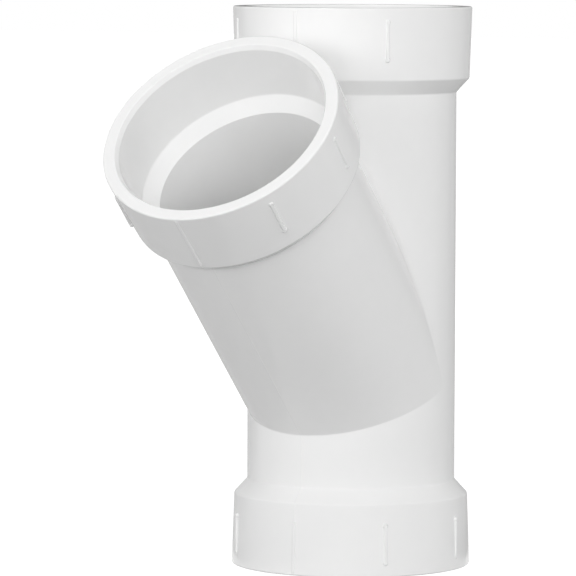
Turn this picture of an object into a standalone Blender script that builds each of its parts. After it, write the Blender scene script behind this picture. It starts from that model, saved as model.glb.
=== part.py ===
"""White PVC drain wye for 2 inch pipe: a straight run with one branch at 45 degrees, and a socket on each end.

The run stands on +Z and the branch leans towards -X. All sizes are in metres.
The fitting is one moulding, so it is one object. Its skin is laid along three legs that meet at one
centre, where the axes of the run and the branch cross.
"""

import math

import bmesh
import bpy
from mathutils import Vector

MM = 0.001

# Pipe walls
BORE_RADIUS = 26.25 * MM
BARREL_WALL = 3.91 * MM
BARREL_RADIUS = BORE_RADIUS + BARREL_WALL

# Sockets: a lead-in, a slow taper, and a sloping ledge where the pipe stops
LEDGE_WIDTH = 3.83 * MM
LEDGE_LENGTH = 3.5 * MM
LEDGE_ROUNDING = 0.8 * MM
SOCKET_TAPER = 0.23 * MM
SOCKET_DEPTH = 19.05 * MM
LEAD_IN_WIDTH = 0.8 * MM
LEAD_IN_DEPTH = 1.4 * MM
SOCKET_BOTTOM_RADIUS = BORE_RADIUS + LEDGE_WIDTH
SOCKET_MOUTH_RADIUS = SOCKET_BOTTOM_RADIUS + SOCKET_TAPER

# Hubs: an outer cylinder with draft, then a cone down to the barrel
HUB_WALL = 4.3 * MM
HUB_DRAFT = 0.7 * MM
HUB_PAST_SOCKET = 1.55 * MM
SHOULDER_LENGTH = 4.1 * MM
MOUTH_ROUNDING = 0.5 * MM
SHOULDER_ROUNDING = 0.9 * MM
HUB_LENGTH = SOCKET_DEPTH + HUB_PAST_SOCKET
HUB_MOUTH_RADIUS = SOCKET_MOUTH_RADIUS + HUB_WALL
HUB_SHOULDER_RADIUS = HUB_MOUTH_RADIUS - HUB_DRAFT

# Rolling-ball blends where the barrels meet
BRANCH_ANGLE = math.radians(45)
CROTCH_BLEND = 3.0 * MM
HEEL_BLEND = 0.8 * MM

# Plain barrel between the joint with the next leg and the hub's cone
TOP_NECK = 4.745 * MM
BRANCH_NECK = 4.745 * MM
BOTTOM_NECK = 14.876 * MM

# Raised ribs around each hub
RIBS_PER_HUB = 8
RIB_START = 3.2 * MM
RIB_END = 5.1 * MM
RIB_LENGTH = HUB_LENGTH - RIB_START - RIB_END
RIB_WIDTH = 1.0 * MM
RIB_HEIGHT = 0.35 * MM
RIB_SLOPE = 0.15 * MM
RIB_ROOT = 1.0 * MM

# Fineness of the mesh
SIDES = 72
ARC_STEP = math.radians(40)
BLEND_STEPS = 6

SIDEWAYS = Vector((0, 1, 0))


def leg_length(wedge, blend, neck):
    """From the centre to the mouth, past the joint in a wedge of this angle, along the neck and over the hub."""
    return (BARREL_RADIUS + blend) / math.tan(wedge / 2) + neck + SHOULDER_LENGTH + HUB_LENGTH


TOP_LENGTH = leg_length(BRANCH_ANGLE, CROTCH_BLEND, TOP_NECK)
BRANCH_LENGTH = leg_length(BRANCH_ANGLE, CROTCH_BLEND, BRANCH_NECK)
BOTTOM_LENGTH = leg_length(math.pi - BRANCH_ANGLE, HEEL_BLEND, BOTTOM_NECK)


class Leg:
    """One leg of the fitting. Its heading turns from straight up towards -X."""

    def __init__(self, heading, length):
        self.length = length
        self.axis = Vector((-math.sin(heading), 0, math.cos(heading)))
        self.onward = Vector((-math.cos(heading), 0, -math.sin(heading)))
        self.heading = heading

    def outward(self, turn):
        """The direction away from the leg's axis, at this turn from the next leg's side."""
        return self.onward * math.cos(turn) + SIDEWAYS * math.sin(turn)

    def point(self, turn, along, radius):
        return self.axis * along + self.outward(turn) * radius


class Corner:
    """The wedge between one leg and the next, with the blend that fills it."""

    def __init__(self, leg, after, blend):
        self.leg = leg
        self.after = after
        self.blend = blend
        self.half = (after.heading - leg.heading) % math.tau / 2
        middle = leg.heading + self.half
        self.middle = Vector((-math.sin(middle), 0, math.cos(middle)))

    def reach(self, turn, radius, blend):
        """How far from the centre a leg's wall starts, where the ball of the blend touches it."""
        return (radius + blend) * abs(math.cos(turn)) / math.tan(self.half)

    def arc(self, turn, radius):
        """Points around the blend, from this leg's wall to the next one's."""
        start = self.leg.point(turn, self.reach(turn, radius, self.blend), radius)
        end = self.after.point(math.pi - turn, self.reach(turn, radius, self.blend), radius)
        path = (radius + self.blend) * math.cos(turn) / math.sin(self.half)
        ball = self.middle * path + SIDEWAYS * (radius + self.blend) * math.sin(turn)
        first, last = (start - ball).normalized(), (end - ball).normalized()
        steps = [first.slerp(last, i / BLEND_STEPS) for i in range(1, BLEND_STEPS)]
        return [start] + [ball + step * self.blend for step in steps] + [end]


def rounded(corners):
    """The outline through (along, radius, rounding) corners, with an arc in place of each rounded one."""
    outline = []
    for i, (along, radius, rounding) in enumerate(corners):
        corner = Vector((along, radius))
        if not rounding:
            outline.append(corner)
            continue
        back = (Vector(corners[i - 1][:2]) - corner).normalized()
        on = (Vector(corners[i + 1][:2]) - corner).normalized()
        half = back.angle(on) / 2
        centre = corner + (back + on).normalized() * rounding / math.sin(half)
        first = (corner + back * rounding / math.tan(half) - centre).normalized()
        last = (corner + on * rounding / math.tan(half) - centre).normalized()
        steps = max(1, round((math.pi - 2 * half) / ARC_STEP))
        outline += [centre + first.slerp(last, step / steps) * rounding for step in range(steps + 1)]
    return outline


def hub_outline(length):
    """(along, radius) points from the barrel over the hub, round its mouth, and down the socket."""
    return rounded(
        [
            (0, BARREL_RADIUS, 0),
            (length - HUB_LENGTH - SHOULDER_LENGTH, BARREL_RADIUS, SHOULDER_ROUNDING),
            (length - HUB_LENGTH, HUB_SHOULDER_RADIUS, SHOULDER_ROUNDING),
            (length, HUB_MOUTH_RADIUS, MOUTH_ROUNDING),
            (length, SOCKET_MOUTH_RADIUS + LEAD_IN_WIDTH, 0),
            (length - LEAD_IN_DEPTH, SOCKET_MOUTH_RADIUS, 0),
            (length - SOCKET_DEPTH, SOCKET_BOTTOM_RADIUS, LEDGE_ROUNDING),
            (length - SOCKET_DEPTH - LEDGE_LENGTH, BORE_RADIUS, 0),
        ]
    )[1:]


def add_strip(mesh, rows):
    """Faces between each row of points and the next."""
    placed = [[mesh.verts.new(point) for point in row] for row in rows]
    for row, after in zip(placed, placed[1:]):
        for i in range(len(row) - 1):
            mesh.faces.new((row[i], row[i + 1], after[i + 1], after[i]))


def add_leg(mesh, leg, before, after):
    """The leg's skin, from the outer corners out to the mouth and back in along the bore."""
    outline = hub_outline(leg.length)
    rows = []
    for i in range(SIDES + 1):
        turn = math.tau * i / SIDES
        corner = after if math.cos(turn) > 0 else before
        outer = leg.point(turn, corner.reach(turn, BARREL_RADIUS, corner.blend), BARREL_RADIUS)
        inner = leg.point(turn, corner.reach(turn, BORE_RADIUS, 0), BORE_RADIUS)
        rows.append([outer] + [leg.point(turn, along, radius) for along, radius in outline] + [inner])
    add_strip(mesh, rows)


def add_blend(mesh, corner):
    """The blend strip, which narrows to nothing at both sides of the fitting."""
    turns = [math.tau * i / SIDES for i in range(-SIDES // 4, SIDES // 4 + 1)]
    add_strip(mesh, [corner.arc(turn, BARREL_RADIUS) for turn in turns])


def rib_radius():
    """How far the ribs' flat tops stand from the hub's axis."""
    return HUB_MOUTH_RADIUS - HUB_DRAFT * RIB_START / HUB_LENGTH + RIB_HEIGHT


def add_rib(mesh, leg, turn):
    """One bar with sloping sides, rooted in the hub's wall."""
    across = leg.outward(turn + math.pi / 2)
    near = leg.length - RIB_START
    middle = near - RIB_LENGTH / 2
    rings = []
    for radius, narrower in ((rib_radius() - RIB_ROOT, -RIB_SLOPE), (rib_radius(), RIB_SLOPE)):
        half_length = RIB_LENGTH / 2 - narrower
        half_width = RIB_WIDTH / 2 - narrower
        centre = leg.point(turn, middle, radius)
        corners = ((-1, -1), (1, -1), (1, 1), (-1, 1))
        rings.append(
            [mesh.verts.new(centre + leg.axis * half_length * a + across * half_width * b) for a, b in corners]
        )
    low, high = rings
    mesh.faces.new(low)
    mesh.faces.new(reversed(high))
    for i in range(4):
        j = (i + 1) % 4
        mesh.faces.new((low[i], high[i], high[j], low[j]))


def finished(name, mesh, material):
    """An object of the mesh, merged, facing out and shaded smooth except at its edges."""
    bmesh.ops.remove_doubles(mesh, verts=mesh.verts, dist=0.0005 * MM)
    bmesh.ops.recalc_face_normals(mesh, faces=mesh.faces)
    data = bpy.data.meshes.new(name)
    mesh.to_mesh(data)
    mesh.free()
    data.materials.append(material)
    data.shade_smooth()
    data.set_sharp_from_angle(angle=math.radians(35))
    obj = bpy.data.objects.new(name, data)
    bpy.context.scene.collection.objects.link(obj)
    return obj


def white_pvc():
    material = bpy.data.materials.new("white_pvc")
    material.use_nodes = True
    shader = material.node_tree.nodes["Principled BSDF"]
    shader.inputs["Base Color"].default_value = (0.82, 0.82, 0.81, 1)
    shader.inputs["Roughness"].default_value = 0.3
    shader.inputs["Metallic"].default_value = 0
    return material


def base_offset():
    """The run's place along X that puts the middle of the whole fitting over the origin."""
    rounding = MOUTH_ROUNDING
    along = (BRANCH_LENGTH - rounding) * math.sin(BRANCH_ANGLE)
    across = (HUB_MOUTH_RADIUS - rounding) * math.cos(BRANCH_ANGLE)
    furthest_left = -(along + across + rounding)
    return -(furthest_left + rib_radius()) / 2


def main():
    for obj in list(bpy.data.objects):
        bpy.data.objects.remove(obj)
    material = white_pvc()

    top = Leg(0, TOP_LENGTH)
    branch = Leg(BRANCH_ANGLE, BRANCH_LENGTH)
    bottom = Leg(math.pi, BOTTOM_LENGTH)
    crotch = Corner(top, branch, CROTCH_BLEND)
    heel = Corner(branch, bottom, HEEL_BLEND)
    back = Corner(bottom, top, 0)

    skin = bmesh.new()
    add_leg(skin, top, back, crotch)
    add_leg(skin, branch, crotch, heel)
    add_leg(skin, bottom, heel, back)
    add_blend(skin, crotch)
    add_blend(skin, heel)
    body = finished("wye_body", skin, material)

    bars = bmesh.new()
    for leg in (top, branch, bottom):
        for i in range(RIBS_PER_HUB):
            add_rib(bars, leg, math.tau * i / RIBS_PER_HUB)
    ribs = finished("rib_bars", bars, material)
    ribs.hide_render = True
    ribs.display_type = "WIRE"
    joined = body.modifiers.new("ribs", "BOOLEAN")
    joined.operation = "UNION"
    joined.object = ribs

    place = Vector((base_offset(), 0, BOTTOM_LENGTH))
    body.location = place
    ribs.location = place


main()
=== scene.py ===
"""Looks of the white PVC drain wye.

A finer skin of the same sizes as the CAD model, its plastic, and a small studio. The run stands on +Z, the
branch leans towards -X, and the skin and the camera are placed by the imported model's box.
"""

import math

import bpy
import numpy as np
from mathutils import Euler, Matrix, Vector


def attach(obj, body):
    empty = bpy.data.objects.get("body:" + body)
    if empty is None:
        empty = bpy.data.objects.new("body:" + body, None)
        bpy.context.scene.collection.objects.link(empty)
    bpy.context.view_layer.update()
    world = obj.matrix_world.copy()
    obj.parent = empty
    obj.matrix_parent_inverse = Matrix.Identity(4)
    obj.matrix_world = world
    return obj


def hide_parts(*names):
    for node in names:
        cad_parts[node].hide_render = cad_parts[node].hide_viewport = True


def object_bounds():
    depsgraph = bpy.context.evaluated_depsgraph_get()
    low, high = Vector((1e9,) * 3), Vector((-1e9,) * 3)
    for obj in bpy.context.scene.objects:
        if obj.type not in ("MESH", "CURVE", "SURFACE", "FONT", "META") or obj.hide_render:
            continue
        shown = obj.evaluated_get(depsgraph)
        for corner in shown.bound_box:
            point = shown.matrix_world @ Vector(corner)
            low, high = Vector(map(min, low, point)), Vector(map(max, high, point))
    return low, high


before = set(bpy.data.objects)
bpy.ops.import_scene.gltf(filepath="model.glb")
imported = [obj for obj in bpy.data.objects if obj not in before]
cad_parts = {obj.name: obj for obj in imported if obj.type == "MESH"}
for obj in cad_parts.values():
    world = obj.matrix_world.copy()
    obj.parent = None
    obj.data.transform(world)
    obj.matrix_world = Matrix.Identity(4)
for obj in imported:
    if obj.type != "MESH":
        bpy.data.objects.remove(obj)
cad_low, cad_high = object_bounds()

MM = 0.001

# Walls, sockets and hubs
BORE_RADIUS = 26.25 * MM
BARREL_RADIUS = 30.16 * MM
LEDGE_LENGTH = 3.5 * MM
SOCKET_DEPTH = 19.05 * MM
SOCKET_BOTTOM_RADIUS = 30.08 * MM
SOCKET_MOUTH_RADIUS = 30.31 * MM
LEAD_IN_WIDTH = 0.8 * MM
LEAD_IN_DEPTH = 1.4 * MM
HUB_LENGTH = 20.6 * MM
SHOULDER_LENGTH = 4.1 * MM
HUB_MOUTH_RADIUS = 34.61 * MM
HUB_SHOULDER_RADIUS = 33.91 * MM

# Edges: the moulding has no sharp one on a hub
MOUTH_ROUNDING = 0.5 * MM
RIM_INNER_ROUNDING = 0.35 * MM
LEAD_IN_ROUNDING = 0.6 * MM
SHOULDER_ROUNDING = 0.9 * MM
LEDGE_ROUNDING = 0.8 * MM
LEDGE_EDGE_ROUNDING = 0.25 * MM

# Where the legs meet
BRANCH_ANGLE = math.radians(45)
CROTCH_BLEND = 3.0 * MM
HEEL_BLEND = 0.8 * MM
NECK = 4.745 * MM
BOTTOM_NECK = 14.876 * MM

# Ribs around each hub, and the line that the mould's halves leave along the fitting
RIBS_PER_HUB = 8
RIB_START = 3.2 * MM
RIB_LENGTH = 12.3 * MM
RIB_HEIGHT = 0.35 * MM
RIB_TOP_HALF = 0.3 * MM
RIB_FOOT_HALF = 0.62 * MM
RIB_END_SLOPE = 0.4 * MM
KNOB_TOP = 0.42 * MM
KNOB_FOOT = 0.86 * MM
LONG_RIB_START = 0.65 * MM
LONG_RIB_END = 1.0 * MM
LONG_RIB_SHARE = 0.6
TOP_BARE_TURN = math.radians(-90)
LINE_HEIGHT = 0.06 * MM
LINE_HALF = 0.3 * MM
LINE_FADE = 2.5 * MM

# Fineness of the skin. The columns over a rib are in millimetres from its middle. The columns over the mould
# line are shares of its half width, and the rows along a rib are shares of its length.
SIDES = 144
ARC_STEP = math.radians(9)
BLEND_STEPS = 14
FLANK_STEPS = 5
KNOB_ROWS = 10
RIB_COLUMNS = (0.15, 0.3, 0.38, 0.46, 0.54, 0.62, 0.7, 0.78, 0.86)
RIB_ROWS = (0.3, 0.5, 0.7)
LINE_COLUMNS = (0.25, 0.5, 0.75, 1)
TURN_DIGITS = 4
TINY_ANGLE = 1e-6

# The step that slopes are measured over, the distance at which points become one, and the outward part of a
# normal below which a wall is inside the fitting
NEAR = 0.01 * MM
MEETING = 0.002 * MM
INWARD = -0.5

SIDEWAYS = np.array((0.0, 1.0, 0.0))
HUB_DRAFT = (HUB_MOUTH_RADIUS - HUB_SHOULDER_RADIUS) / HUB_LENGTH
RIB_RADIUS = HUB_MOUTH_RADIUS - HUB_DRAFT * RIB_START + RIB_HEIGHT

# Plastic. Each noise is its scale, detail and roughness, and the range of its values that is used.
REFRACTION = 1.5
GREYER_RESIN = (0.93, 0.931, 0.929, 1)
WHITER_RESIN = (0.952, 0.952, 0.949, 1)
CLOUD = (22.0, 3.0, 0.5, 0.35, 0.65)
FLECK = (240.0, 2.0, 0.5, 0.4, 0.7)
CLOUD_SHARE = 0.75
STREAK = (46.0, 4.0, 0.6, 0.45, 0.75)
POLISH = (38.0, 4.0, 0.5, 0.35, 0.65)
SCUFF = (150.0, 6.0, 0.7, 0.56, 0.74)
BEST_POLISH = 0.16
WORST_POLISH = 0.22
SCUFF_DULLING = 0.04
STREAK_DULLING = 0.06
SINK = (55.0, 1.0, 0.5)
PEEL = (620.0, 2.0, 0.5)

# Each bump is its strength and its height
SINK_BUMP = (0.22, 0.25 * MM)
PEEL_BUMP = (0.1, 0.06 * MM)
STREAK_BUMP = (0.05, 0.02 * MM)

# The camera: its place and lens come from the edges in the photograph
CAMERA_AZIMUTH = -61.093
CAMERA_ELEVATION = 4.365
CAMERA_ROLL = 0.185
CAMERA_DISTANCE = 1371.6 * MM
CAMERA_LENS = 293.75
CAMERA_SENSOR = 36
CAMERA_CLIP = 0.1
TARGET_RIGHT = -18.444 * MM
TARGET_UP = 79.810 * MM

# Studio, in metres and watts. The floor is whitest beyond its fade.
WORLD_LIGHT = 0.2
FLOOR_HALF = 6.0
FLOOR_BOUNCE = 0.36
FLOOR_SHADOW = 0.4
FLOOR_GLOW = 0.88
FLOOR_FADE = (0.15, 0.6)

# Each grey card glows with its tone and shows only in the plastic's gloss, where it paints darker
# reflections along the fitting's edges: tone, left and right edge, bottom, top, and how far forward its foot
# reaches, or None
PAINTED_REFLECTION_DISTANCE = 0.12
PAINTED_REFLECTION_CARDS = (
    ("painted_reflection_right", 0.5, 0.04, 0.078, 0.001, 0.22, 0.0),
    ("painted_reflection_mid_right", 0.62, 0.078, 0.17, 0.001, 0.26, 0.0),
    ("painted_reflection_far_right", 0.82, 0.17, 0.4, 0.001, 0.3, 0.0),
    ("painted_reflection_left", 0.67, -0.2, -0.04, 0.001, 0.22, 0.2),
    ("painted_reflection_top", 0.05, -0.05, 0.05, 0.1625, 0.4, None),
)

# Each lamp: degrees to the right of the camera, degrees up, distance, width, height, power, and whether the
# plastic mirrors it
SOFTBOXES = (
    ("front_low", 0, 7, 2.2, 2.6, 0.5, 23.3, False),
    ("front_high", 0, 28, 2.2, 2.6, 1.0, 4.5, False),
    ("front_left", -45, 8, 2.2, 1.6, 0.6, 3.3, False),
    ("left", -78, 8, 2.2, 1.6, 0.6, 11.6, False),
    ("right", 80, 8, 2.2, 1.6, 0.6, 5.9, False),
    ("back_right", 120, 10, 2.2, 1.6, 0.8, 6.2, False),
    ("high_right", 50, 42, 2.2, 1.4, 1.0, 6.5, False),
    ("overhead", -65, 74, 1.2, 0.46, 0.46, 2.4, True),
)


def leg_length(wedge, blend, neck):
    """From the centre to the mouth: past the joint in a wedge of this angle, the neck and the hub."""
    return (BARREL_RADIUS + blend) / math.tan(wedge / 2) + neck + SHOULDER_LENGTH + HUB_LENGTH


def unit(vector):
    return vector / np.linalg.norm(vector)


def slerp(first, last, share):
    angle = math.acos(max(-1.0, min(1.0, float(first @ last))))
    if angle < TINY_ANGLE:
        return first
    return (math.sin((1 - share) * angle) * first + math.sin(share * angle) * last) / math.sin(angle)


def ease(share):
    """0 to 1 with a flat start and a flat end."""
    share = max(0.0, min(1.0, share))
    return share * share * (3 - 2 * share)


class Leg:
    """One leg of the fitting. Its heading turns from straight up towards -X."""

    def __init__(self, heading, length, long_rib, bare_turn=None):
        self.length = length
        self.bare_turn = bare_turn
        self.rib_span = (length - RIB_START - RIB_LENGTH, length - RIB_START)
        self.long_rib_span = (length - long_rib, length - LONG_RIB_START)
        self.heading = heading
        self.axis = np.array((-math.sin(heading), 0.0, math.cos(heading)))
        self.onward = np.array((-math.cos(heading), 0.0, -math.sin(heading)))

    def outward(self, turn):
        return self.onward * math.cos(turn) + SIDEWAYS * math.sin(turn)

    def around(self, turn):
        return SIDEWAYS * math.cos(turn) - self.onward * math.sin(turn)

    def point(self, turn, along, radius):
        return self.axis * along + self.outward(turn) * radius


class Corner:
    """The wedge between one leg and the next, with the blend that fills it."""

    def __init__(self, leg, after, blend):
        self.leg = leg
        self.after = after
        self.blend = blend
        self.half = (after.heading - leg.heading) % math.tau / 2
        middle = leg.heading + self.half
        self.middle = np.array((-math.sin(middle), 0.0, math.cos(middle)))

    def reach(self, turn, radius, blend):
        """How far from the centre a leg's wall starts, where the ball of the blend touches it."""
        return (radius + blend) * abs(math.cos(turn)) / math.tan(self.half)

    def arc(self, turn):
        """(point, normal) pairs round the blend, from this leg's wall to the next one's."""
        along = self.reach(turn, BARREL_RADIUS, self.blend)
        start = self.leg.point(turn, along, BARREL_RADIUS)
        end = self.after.point(math.pi - turn, along, BARREL_RADIUS)
        path = (BARREL_RADIUS + self.blend) * math.cos(turn) / math.sin(self.half)
        ball = self.middle * path + SIDEWAYS * (BARREL_RADIUS + self.blend) * math.sin(turn)
        first, last = unit(start - ball), unit(end - ball)
        rise = line_rise(turn)
        arc = []
        for i in range(BLEND_STEPS + 1):
            towards = slerp(first, last, i / BLEND_STEPS)
            arc.append((ball + towards * (self.blend - rise), -towards))
        return arc


def nearest_rib(turn):
    """The angle from the nearest rib's middle."""
    apart = math.tau / RIBS_PER_HUB
    return (turn + apart / 2) % apart - apart / 2


def line_rise(turn):
    """Height of the mould line, which runs along both sides of the fitting's plane of symmetry."""
    across = abs((turn + math.pi / 2) % math.pi - math.pi / 2) * BARREL_RADIUS
    return LINE_HEIGHT * (1 - ease(across / LINE_HALF))


def turns():
    """Turns round a leg: even ones, with closer ones over each rib and each mould line."""
    found = {round(360 * i / SIDES, TURN_DIGITS) for i in range(SIDES)}

    def add_pair(turn, off):
        for way in (-1, 1):
            found.add(round((turn + way * math.degrees(off)) % 360, TURN_DIGITS))

    for rib in range(RIBS_PER_HUB):
        for across in RIB_COLUMNS:
            add_pair(360 * rib / RIBS_PER_HUB, across * MM / RIB_RADIUS)
    for side in (0, 180):
        for share in LINE_COLUMNS:
            add_pair(side, LINE_HALF * share / BARREL_RADIUS)
    return [math.radians(turn) for turn in sorted(found)]


def rounded(corners):
    """(along, radius, normal) through the corners, with an arc in place of each rounded one.

    The outline runs from the barrel out to the mouth and back in along the socket, so its outer side is on
    the left.
    """
    outline = []
    points = [np.array(corner[:2]) for corner in corners]
    for i in range(1, len(corners) - 1):
        back, on = unit(points[i - 1] - points[i]), unit(points[i + 1] - points[i])
        half = math.acos(float(back @ on)) / 2
        rounding = corners[i][2]
        centre = points[i] + unit(back + on) * rounding / math.sin(half)
        first = unit(points[i] + back * rounding / math.tan(half) - centre)
        last = unit(points[i] + on * rounding / math.tan(half) - centre)
        travel = -back
        left = np.array((-travel[1], travel[0]))
        outer = 1 if first @ left > 0 else -1
        steps = max(2, round((math.pi - 2 * half) / ARC_STEP))
        for step in range(steps + 1):
            towards = slerp(first, last, step / steps)
            place = centre + towards * rounding
            outline.append((place[0], place[1], towards * outer))
    return outline


def extra_rows(outline, places):
    """The outline with more rows on its hub, at these places along the leg."""
    full = []
    for here, after in zip(outline, outline[1:]):
        full.append(here)
        if here[1] < HUB_SHOULDER_RADIUS - 2 * SHOULDER_ROUNDING or after[0] <= here[0]:
            continue
        for along in places:
            if here[0] < along < after[0]:
                share = (along - here[0]) / (after[0] - here[0])
                full.append((along, here[1] + (after[1] - here[1]) * share, here[2]))
    return full + outline[-1:]


def hub_outline(leg):
    """Rows from the barrel over the hub and its mouth, then in along the socket, the ledge and the bore."""
    length = leg.length
    rows = rounded(
        [
            (0, BARREL_RADIUS, 0),
            (length - HUB_LENGTH - SHOULDER_LENGTH, BARREL_RADIUS, SHOULDER_ROUNDING),
            (length - HUB_LENGTH, HUB_SHOULDER_RADIUS, SHOULDER_ROUNDING),
            (length, HUB_MOUTH_RADIUS, MOUTH_ROUNDING),
            (length, SOCKET_MOUTH_RADIUS + LEAD_IN_WIDTH, RIM_INNER_ROUNDING),
            (length - LEAD_IN_DEPTH, SOCKET_MOUTH_RADIUS, LEAD_IN_ROUNDING),
            (length - SOCKET_DEPTH, SOCKET_BOTTOM_RADIUS, LEDGE_ROUNDING),
            (length - SOCKET_DEPTH - LEDGE_LENGTH, BORE_RADIUS, LEDGE_EDGE_ROUNDING),
            (0, BORE_RADIUS, 0),
        ]
    )
    places = []
    far, near = leg.rib_span
    for step in range(KNOB_ROWS + 1):
        moved = 2 * KNOB_FOOT * step / KNOB_ROWS
        places += [far + moved, near - moved]
    places += [far + (near - far) * share for share in RIB_ROWS]
    long_far, long_near = leg.long_rib_span
    for step in range(FLANK_STEPS + 1):
        moved = RIB_END_SLOPE * step / FLANK_STEPS
        places += [long_far + moved, long_near - moved]
    return extra_rows(rows, sorted(places))


def rib_rise(leg, turn, along, radius):
    """Height of a rib over the hub's wall at this place, or 0 where there is none.

    The two ribs in the fitting's plane of symmetry are lower and run on to the mouth, and the branch's also
    reach back to the shoulder. The others end in small knobs. A leg with a bare turn has no rib there.
    """
    if radius < HUB_SHOULDER_RADIUS:
        return 0.0
    if leg.bare_turn is not None and math.cos(turn - leg.bare_turn) > math.cos(math.pi / RIBS_PER_HUB):
        return 0.0
    across = abs(nearest_rib(turn)) * RIB_RADIUS
    in_plane = min(turn % math.pi, math.pi - turn % math.pi) * RIB_RADIUS < 2 * RIB_FOOT_HALF
    far, near = leg.long_rib_span if in_plane else leg.rib_span
    if not far < along < near:
        return 0.0
    flank = 1 - ease((across - RIB_TOP_HALF) / (RIB_FOOT_HALF - RIB_TOP_HALF))
    ends = ease((along - far) / RIB_END_SLOPE) * ease((near - along) / RIB_END_SLOPE)
    if in_plane:
        return (RIB_RADIUS - radius) * flank * ends * LONG_RIB_SHARE
    past = min(abs(along - far - KNOB_FOOT), abs(near - KNOB_FOOT - along))
    knob = 1 - ease((math.hypot(across, past) - KNOB_TOP) / (KNOB_FOOT - KNOB_TOP))
    return (RIB_RADIUS - radius) * max(flank * ends, knob)


class Skin:
    """Points and faces, with each face's own normals and place along its leg at its corners."""

    def __init__(self):
        self.points = []
        self.index = {}
        self.faces = []
        self.normals = []
        self.places = []

    def number(self, point):
        """The point's number, which is the same for points that meet."""
        key = tuple(np.round(point / MEETING).astype(int))
        if key not in self.index:
            self.index[key] = len(self.points)
            self.points.append(point)
        return self.index[key]

    def add_strip(self, rows):
        """Faces between each row of (point, normal, place) and the next one."""
        numbered = [[self.number(point) for point, _, _ in row] for row in rows]
        for r in range(len(rows) - 1):
            for i in range(len(rows[r]) - 1):
                spots = ((r, i), (r, i + 1), (r + 1, i + 1), (r + 1, i))
                corners = []
                for spot in spots:
                    number = numbered[spot[0]][spot[1]]
                    if number not in [corner[0] for corner in corners]:
                        corners.append((number, rows[spot[0]][spot[1]]))
                if len(corners) < 3:
                    continue
                self.faces.append([number for number, _ in corners])
                self.normals += [sample[1] for _, sample in corners]
                self.places += [sample[2] for _, sample in corners]


def outer_sample(leg, turn, along, radius, normal):
    """(point, normal, place) on a leg's skin, raised by the ribs and by the mould line."""
    base = leg.axis * normal[0] + leg.outward(turn) * normal[1]
    if normal[1] <= 0 or radius <= BARREL_RADIUS - NEAR:
        return leg.point(turn, along, radius), base, (turn, along, 1.0 if normal[1] > INWARD else 0.0)

    # The mould line fades out before the rim.
    line_share = ease((leg.length - along) / LINE_FADE)

    def rise(turned, moved):
        return max(rib_rise(leg, turned, moved, radius), line_share * line_rise(turned))

    up = rise(turn, along)
    slope_around = (rise(turn + NEAR / radius, along) - rise(turn - NEAR / radius, along)) / (2 * NEAR)
    slope_along = (rise(turn, along + NEAR) - rise(turn, along - NEAR)) / (2 * NEAR)
    tilted = base - leg.around(turn) * slope_around - leg.axis * slope_along
    return leg.point(turn, along, radius + up), unit(tilted), (turn, along, 1.0)


def add_leg(skin, leg, before, after, columns):
    """The leg's skin, from the outer corners out to the mouth and back in along the bore."""
    outline = hub_outline(leg)
    rows = []
    for turn in columns + [columns[0] + math.tau]:
        corner = after if math.cos(turn) > 0 else before
        start = corner.reach(turn, BARREL_RADIUS, corner.blend)
        row = [outer_sample(leg, turn, start, BARREL_RADIUS, (0.0, 1.0))]
        for along, radius, normal in outline:
            row.append(outer_sample(leg, turn, along, radius, normal))
        inner = corner.reach(turn, BORE_RADIUS, 0)
        row.append(outer_sample(leg, turn, inner, BORE_RADIUS, (0.0, -1.0)))
        rows.append(row)
    skin.add_strip(rows)


def add_blend(skin, corner, columns):
    """The blend strip, which narrows to nothing at both sides of the fitting."""
    half = [turn if turn <= math.pi else turn - math.tau for turn in columns]
    half = sorted(turn for turn in half if abs(turn) <= math.pi / 2 + TINY_ANGLE)
    rows = []
    for turn in half:
        along = corner.reach(turn, BARREL_RADIUS, corner.blend)
        rows.append([(point, normal, (turn, along, 1.0)) for point, normal in reversed(corner.arc(turn))])
    skin.add_strip(rows)


def linked(name, data):
    """A new object with this data, in the scene."""
    obj = bpy.data.objects.new(name, data)
    bpy.context.scene.collection.objects.link(obj)
    return obj


def wye_object(material):
    arm = leg_length(BRANCH_ANGLE, CROTCH_BLEND, NECK)
    foot = leg_length(math.pi - BRANCH_ANGLE, HEEL_BLEND, BOTTOM_NECK)
    top = Leg(0.0, arm, RIB_START + RIB_LENGTH, TOP_BARE_TURN)
    branch = Leg(BRANCH_ANGLE, arm, HUB_LENGTH - LONG_RIB_END)
    bottom = Leg(math.pi, foot, RIB_START + RIB_LENGTH)
    crotch = Corner(top, branch, CROTCH_BLEND)
    heel = Corner(branch, bottom, HEEL_BLEND)
    back = Corner(bottom, top, 0.0)

    skin = Skin()
    columns = turns()
    add_leg(skin, top, back, crotch, columns)
    add_leg(skin, branch, crotch, heel, columns)
    add_leg(skin, bottom, heel, back, columns)
    add_blend(skin, crotch, columns)
    add_blend(skin, heel, columns)

    data = bpy.data.meshes.new("wye_moulding")
    centre = run_foot + Vector((0, 0, bottom.length))
    points = [Vector(point) + centre for point in skin.points]
    data.from_pydata(points, [], skin.faces)
    places = data.attributes.new("place", "FLOAT_VECTOR", "CORNER")
    places.data.foreach_set("vector", np.array(skin.places, dtype=np.float32).ravel())
    data.materials.append(material)
    data.shade_smooth()
    data.normals_split_custom_set([tuple(normal) for normal in skin.normals])
    return linked("wye_moulding", data)


def node_material(name):
    material = bpy.data.materials.new(name)
    material.use_nodes = True
    return material, material.node_tree.nodes, material.node_tree.links


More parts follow.
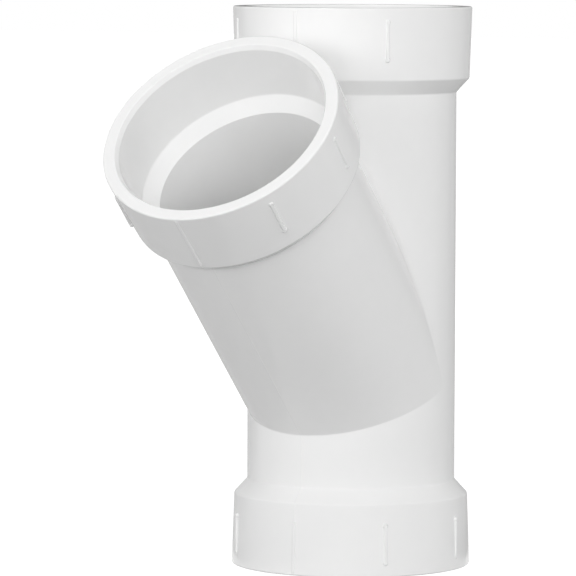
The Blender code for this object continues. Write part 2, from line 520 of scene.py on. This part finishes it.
def white_pvc():
    """Glossy white plastic: faint mottling, a soft orange peel, and draw marks along the inside."""
    material, nodes, links = node_material("moulded_white_pvc")
    shader = nodes["Principled BSDF"]
    shader.inputs["IOR"].default_value = REFRACTION

    def node(kind, values=(), **settings):
        """A node with these settings, its inputs set from (name, value) or linked from (name, socket)."""
        made = nodes.new(kind)
        for name, value in settings.items():
            setattr(made, name, value)
        for name, value in values:
            if isinstance(value, bpy.types.NodeSocket):
                links.new(value, made.inputs[name])
            else:
                made.inputs[name].default_value = value
        return made

    def noise(place, scale, detail, rough):
        values = (("Vector", place), ("Scale", scale), ("Detail", detail), ("Roughness", rough))
        return node("ShaderNodeTexNoise", values).outputs["Fac"]

    def patches(place, kind, least, most):
        """A noise whose range of used values is spread from least to most."""
        scale, detail, rough, low, high = kind
        values = (("Value", noise(place, scale, detail, rough)), ("From Min", low), ("From Max", high))
        values += (("To Min", least), ("To Max", most))
        return node("ShaderNodeMapRange", values).outputs["Result"]

    def maths(operation, first, second=0.0):
        return node("ShaderNodeMath", ((0, first), (1, second)), operation=operation).outputs[0]

    def bump(height, size, normal=None):
        strength, distance = size
        values = (("Height", height), ("Strength", strength), ("Distance", distance))
        if normal:
            values += (("Normal", normal),)
        return node("ShaderNodeBump", values).outputs["Normal"]

    spot = node("ShaderNodeTexCoord").outputs["Object"]
    place = node("ShaderNodeAttribute", attribute_name="place").outputs["Vector"]
    parts = node("ShaderNodeSeparateXYZ", (("Vector", place),)).outputs
    turn, along, outside = parts["X"], parts["Y"], parts["Z"]
    inside = maths("SUBTRACT", 1.0, outside)

    # White resin, mixed a little unevenly
    cloud = patches(spot, CLOUD, 0.0, CLOUD_SHARE)
    fleck = patches(spot, FLECK, 0.0, 1.0 - CLOUD_SHARE)
    tint = node("ShaderNodeValToRGB", (("Fac", maths("ADD", cloud, fleck)),))
    tint.color_ramp.elements[0].color = GREYER_RESIN
    tint.color_ramp.elements[1].color = WHITER_RESIN
    links.new(tint.outputs["Color"], shader.inputs["Base Color"])

    # Draw marks: long thin streaks along the socket and the bore, left by the core as it was pulled
    ring = (("X", maths("COSINE", turn)), ("Y", maths("SINE", turn)), ("Z", along))
    drawn = node("ShaderNodeCombineXYZ", ring).outputs["Vector"]
    marks = maths("MULTIPLY", patches(drawn, STREAK, 0.0, 1.0), inside)

    # Polish: patches of the mould are smoother than others, and handling has dulled it in fine scuffs
    polish = patches(spot, POLISH, BEST_POLISH, WORST_POLISH)
    scuff = patches(spot, SCUFF, 0.0, SCUFF_DULLING)
    dulled = maths("ADD", maths("ADD", polish, scuff), maths("MULTIPLY", marks, STREAK_DULLING))
    links.new(dulled, shader.inputs["Roughness"])

    # Shallow sink marks, orange peel over them, and the draw marks
    sink = bump(noise(spot, *SINK), SINK_BUMP)
    peel = bump(noise(spot, *PEEL), PEEL_BUMP, sink)
    links.new(bump(marks, STREAK_BUMP, peel), shader.inputs["Normal"])
    return material


def background_rays(nodes, links):
    """1 for the rays that show the background: camera, glossy and transmission rays."""
    path = nodes.new("ShaderNodeLightPath")
    found = path.outputs["Is Camera Ray"]
    for name in ("Is Glossy Ray", "Is Transmission Ray"):
        either = nodes.new("ShaderNodeMath")
        either.operation = "MAXIMUM"
        links.new(found, either.inputs[0])
        links.new(path.outputs[name], either.inputs[1])
        found = either.outputs[0]
    return found


def floor_object():
    """A white floor that keeps the fitting's shadow. To other rays it is a plain grey."""
    data = bpy.data.meshes.new("studio_floor")
    sides = ((-1, -1), (1, -1), (1, 1), (-1, 1))
    data.from_pydata([(x * FLOOR_HALF, y * FLOOR_HALF, cad_low.z) for x, y in sides], [], [(0, 1, 2, 3)])
    material, nodes, links = node_material("studio_floor")
    nodes.clear()

    def diffuse(tone):
        made = nodes.new("ShaderNodeBsdfDiffuse")
        made.inputs["Color"].default_value = (tone, tone, tone, 1)
        return made.outputs[0]

    far = nodes.new("ShaderNodeVectorMath")
    far.operation = "LENGTH"
    links.new(nodes.new("ShaderNodeTexCoord").outputs["Object"], far.inputs[0])
    lit = nodes.new("ShaderNodeMapRange")
    lit.interpolation_type = "SMOOTHSTEP"
    fade = zip(("From Min", "From Max", "To Min", "To Max"), (*FLOOR_FADE, FLOOR_GLOW, 1.0))
    for name, value in fade:
        lit.inputs[name].default_value = value
    links.new(far.outputs["Value"], lit.inputs["Value"])
    glow = nodes.new("ShaderNodeEmission")
    links.new(lit.outputs["Result"], glow.inputs["Strength"])

    seen = nodes.new("ShaderNodeAddShader")
    links.new(diffuse(FLOOR_SHADOW), seen.inputs[0])
    links.new(glow.outputs[0], seen.inputs[1])
    mix = nodes.new("ShaderNodeMixShader")
    links.new(background_rays(nodes, links), mix.inputs[0])
    links.new(diffuse(FLOOR_BOUNCE), mix.inputs[1])
    links.new(seen.outputs[0], mix.inputs[2])
    links.new(mix.outputs[0], nodes.new("ShaderNodeOutputMaterial").inputs["Surface"])
    data.materials.append(material)
    return linked("studio_floor", data)


def white_world():
    world = bpy.data.worlds.new("studio")
    world.use_nodes = True
    nodes, links = world.node_tree.nodes, world.node_tree.links
    strength = nodes.new("ShaderNodeMapRange")
    strength.inputs["To Min"].default_value = WORLD_LIGHT
    strength.inputs["To Max"].default_value = 1.0
    links.new(background_rays(nodes, links), strength.inputs["Value"])
    background = nodes["Background"]
    background.inputs["Color"].default_value = (1, 1, 1, 1)
    links.new(strength.outputs[0], background.inputs["Strength"])
    bpy.context.scene.world = world


def add_softbox(name, azimuth, elevation, distance, width, height, power, mirrored):
    """An area lamp that faces the fitting.

    A lamp that isn't mirrored stands behind the white of the tent, so the plastic's gloss shows the white
    instead.
    """
    turn, rise = math.radians(CAMERA_AZIMUTH + azimuth), math.radians(elevation)
    back = Vector((math.sin(turn) * math.cos(rise), -math.cos(turn) * math.cos(rise), math.sin(rise)))
    data = bpy.data.lights.new(name, "AREA")
    data.shape = "RECTANGLE"
    data.size = width
    data.size_y = height
    data.energy = power
    obj = linked(name, data)
    obj.location = Vector((0, 0, (cad_low.z + cad_high.z) / 2)) + back * distance
    obj.rotation_euler = back.to_track_quat("Z", "Y").to_euler()
    obj.visible_glossy = mirrored


def add_painted_reflection_card(name, tone, left, right, bottom, top, foot):
    """A glowing grey card behind the fitting that paints darker reflections in the plastic's gloss and shows
    nowhere else.

    Its edges are in metres to the right of the run's axis and above the floor. A card with a foot also lies
    on the floor, from under itself to that far in front of the run's axis.
    """
    turn = math.radians(CAMERA_AZIMUTH)
    across = Vector((math.cos(turn), math.sin(turn), 0))
    back = Vector((-across.y, across.x, 0))
    corners = [(left, PAINTED_REFLECTION_DISTANCE, top), (right, PAINTED_REFLECTION_DISTANCE, top)]
    corners += [(right, PAINTED_REFLECTION_DISTANCE, bottom), (left, PAINTED_REFLECTION_DISTANCE, bottom)]
    faces = [(0, 1, 2, 3)]
    if foot is not None:
        corners += [(right, -foot, bottom), (left, -foot, bottom)]
        faces.append((3, 2, 4, 5))
    points = [run_foot + across * x + back * y + Vector((0, 0, z)) for x, y, z in corners]
    data = bpy.data.meshes.new(name)
    data.from_pydata(points, [], faces)
    material, nodes, links = node_material(name)
    glow = nodes.new("ShaderNodeEmission")
    glow.inputs["Color"].default_value = (tone, tone, tone, 1)
    links.new(glow.outputs[0], nodes["Material Output"].inputs["Surface"])
    data.materials.append(material)
    obj = linked(name, data)
    # Painted reflection: the card casts no shadow and gives no light to other surfaces
    obj.visible_camera = False
    obj.visible_diffuse = False
    obj.visible_shadow = False


def add_camera():
    tilt = math.radians(90 - CAMERA_ELEVATION)
    turn = Euler((tilt, 0, math.radians(CAMERA_AZIMUTH))).to_matrix()
    roll = Euler((0, 0, math.radians(CAMERA_ROLL))).to_matrix()
    right, up, back = turn.col[0], turn.col[1], turn.col[2]
    data = bpy.data.cameras.new("camera")
    data.lens = CAMERA_LENS
    data.sensor_width = CAMERA_SENSOR
    data.clip_start = CAMERA_CLIP
    obj = linked("camera", data)
    obj.location = run_foot + right * TARGET_RIGHT + up * TARGET_UP + back * CAMERA_DISTANCE
    obj.rotation_euler = (turn @ roll).to_euler()
    bpy.context.scene.camera = obj


# Where the run's axis meets the floor
run_foot = Vector((cad_high.x - RIB_RADIUS, 0, cad_low.z))

wye = wye_object(white_pvc())
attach(wye, "root")
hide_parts("wye_body")

floor = floor_object()
white_world()
# Glowing cards that paint darker reflections along the plastic's edges
for reflection_card in PAINTED_REFLECTION_CARDS:
    add_painted_reflection_card(*reflection_card)
for softbox in SOFTBOXES:
    add_softbox(*softbox)
add_camera()
bpy.context.scene.view_settings.view_transform = "Standard"
